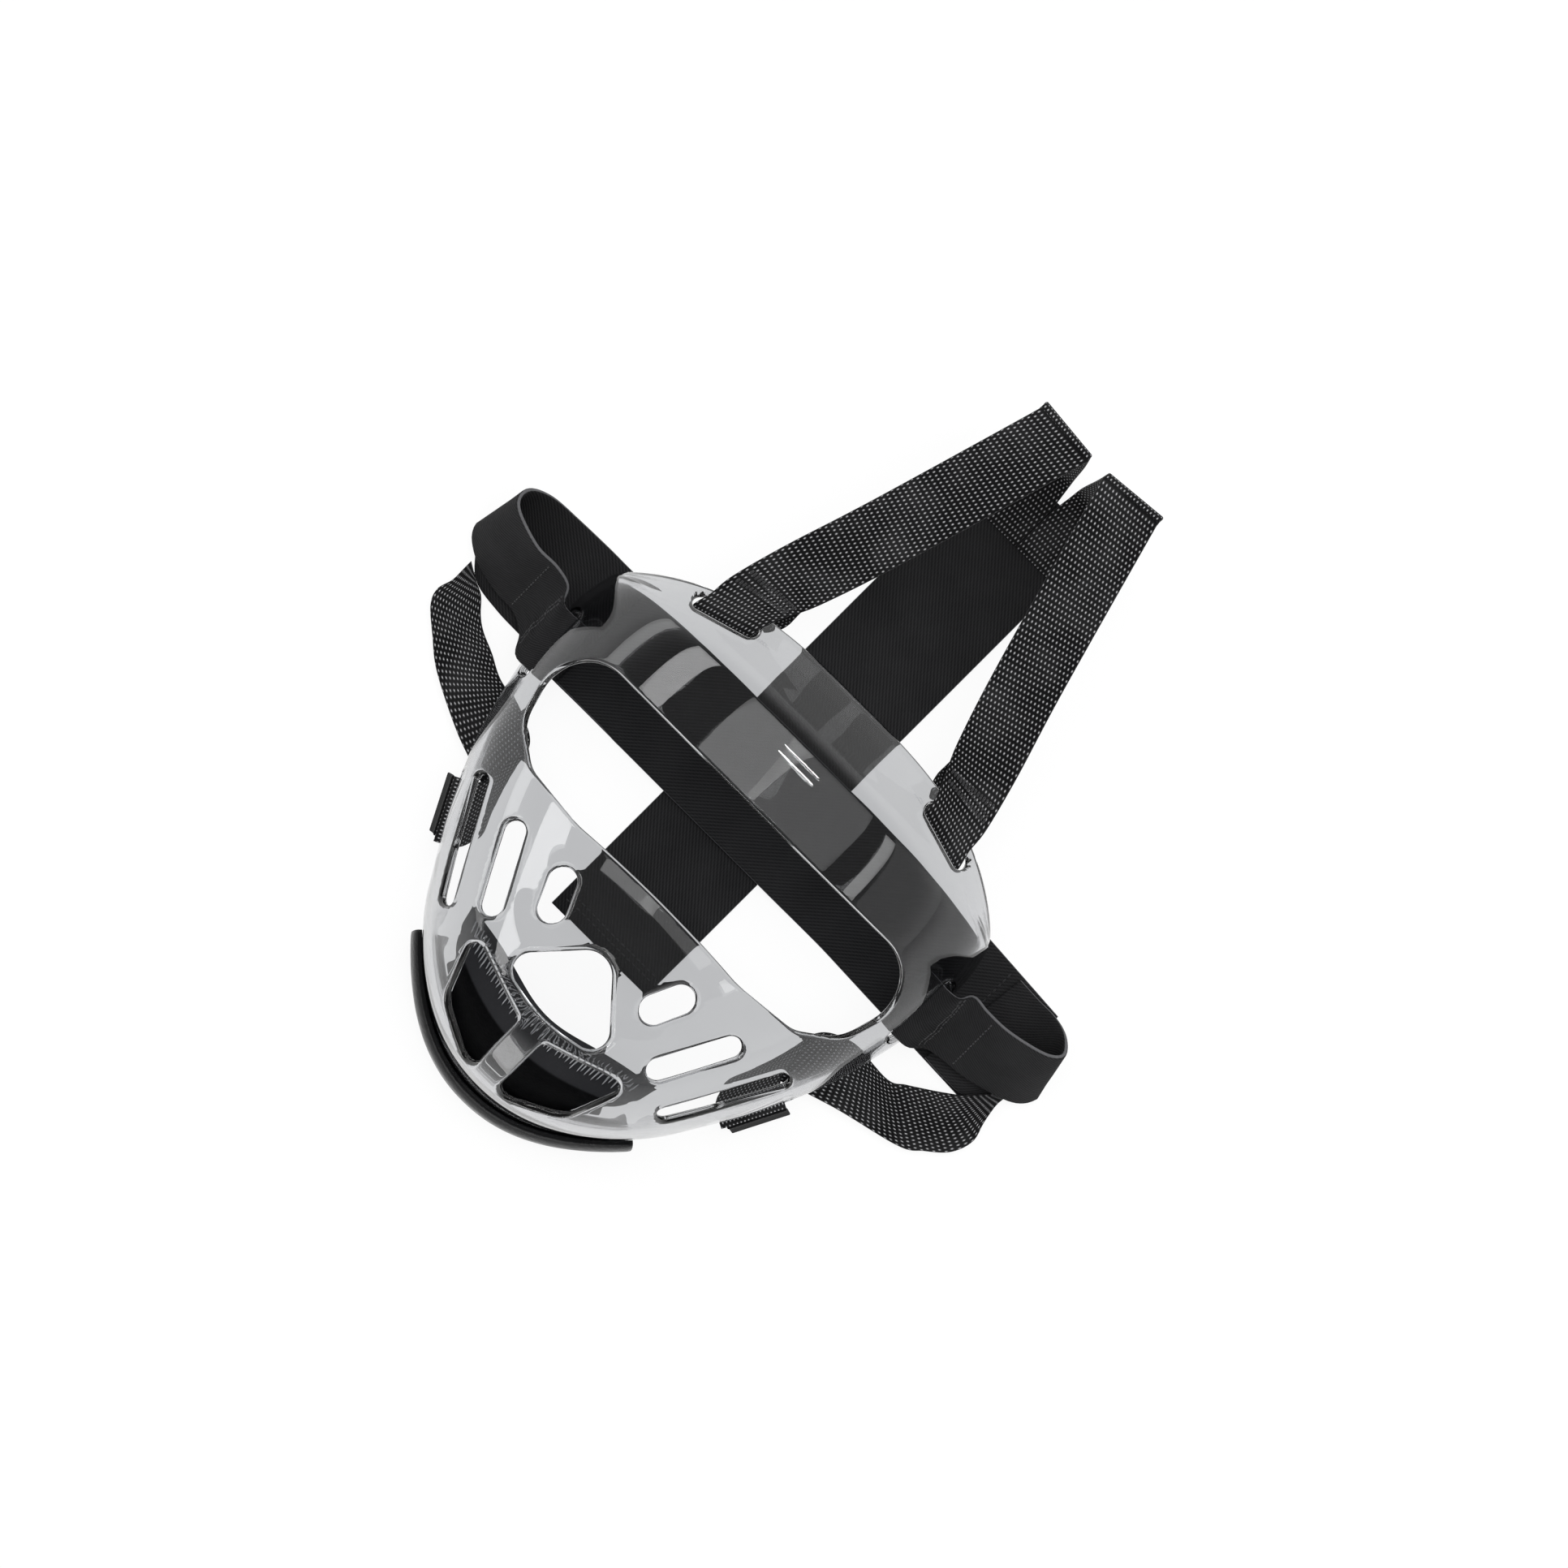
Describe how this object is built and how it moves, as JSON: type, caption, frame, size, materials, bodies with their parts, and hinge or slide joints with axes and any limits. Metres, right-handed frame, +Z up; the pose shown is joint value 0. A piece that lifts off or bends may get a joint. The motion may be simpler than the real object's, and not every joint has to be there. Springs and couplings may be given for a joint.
{
  "type": "taekwondo face mask",
  "caption": "Clear moulded face mask for sparring with a padded chin, on its back with its elastic and webbing harness spread out.",
  "frame": {"origin": "on the table, under the middle of the crossing of the crown strap and the back strap", "axes": "+Z up from the table, out of the front of the mask; +Y towards the crown; +X to the right as seen from the front"},
  "size_m": [0.3016, 0.3289, 0.088],
  "materials": {
    "clear_shell": "clear, polished",
    "edge_rubber": "glossy",
    "pad_foam": "matte foam",
    "elastic": "knitted",
    "webbing": "woven",
    "hook_tape": "matte"
  },
  "bodies": {
    "mask": {"face_shell": "clear_shell", "chin_edge_guard": "edge_rubber", "chin_pad": "pad_foam", "back_strap": "elastic", "left_temple_strap": "elastic", "right_temple_strap": "elastic", "right_strap_hook_patch": "hook_tape", "crown_strap": "elastic", "crown_strap_hook_patch": "hook_tape", "left_crown_webbing": "webbing", "right_crown_webbing": "webbing", "left_jaw_webbing": "webbing", "right_jaw_webbing": "webbing"},
    "back_strap_tab": {"back_strap_tab": "hook_tape"},
    "left_jaw_tab": {"left_jaw_tab": "hook_tape"},
    "right_jaw_tab": {"right_jaw_tab": "hook_tape"}
  },
  "joints": [
    {"name": "left_jaw_tab_hinge", "type": "hinge", "parent": "mask", "child": "left_jaw_tab", "pos_m": [-0.0811, -0.085, 0.0248], "axis": [-0.4555, 0.8902, 0], "range_deg": [0, 100]},
    {"name": "right_jaw_tab_hinge", "type": "hinge", "parent": "mask", "child": "right_jaw_tab", "pos_m": [0.0811, -0.085, 0.0248], "axis": [-0.4555, -0.8902, 0], "range_deg": [0, 100]},
    {"name": "back_strap_tab_hinge", "type": "hinge", "parent": "mask", "child": "back_strap_tab", "pos_m": [-0.06025, -0.00075, 0.00355], "axis": [0, 1, 0], "range_deg": [0, 70]}
  ]
}
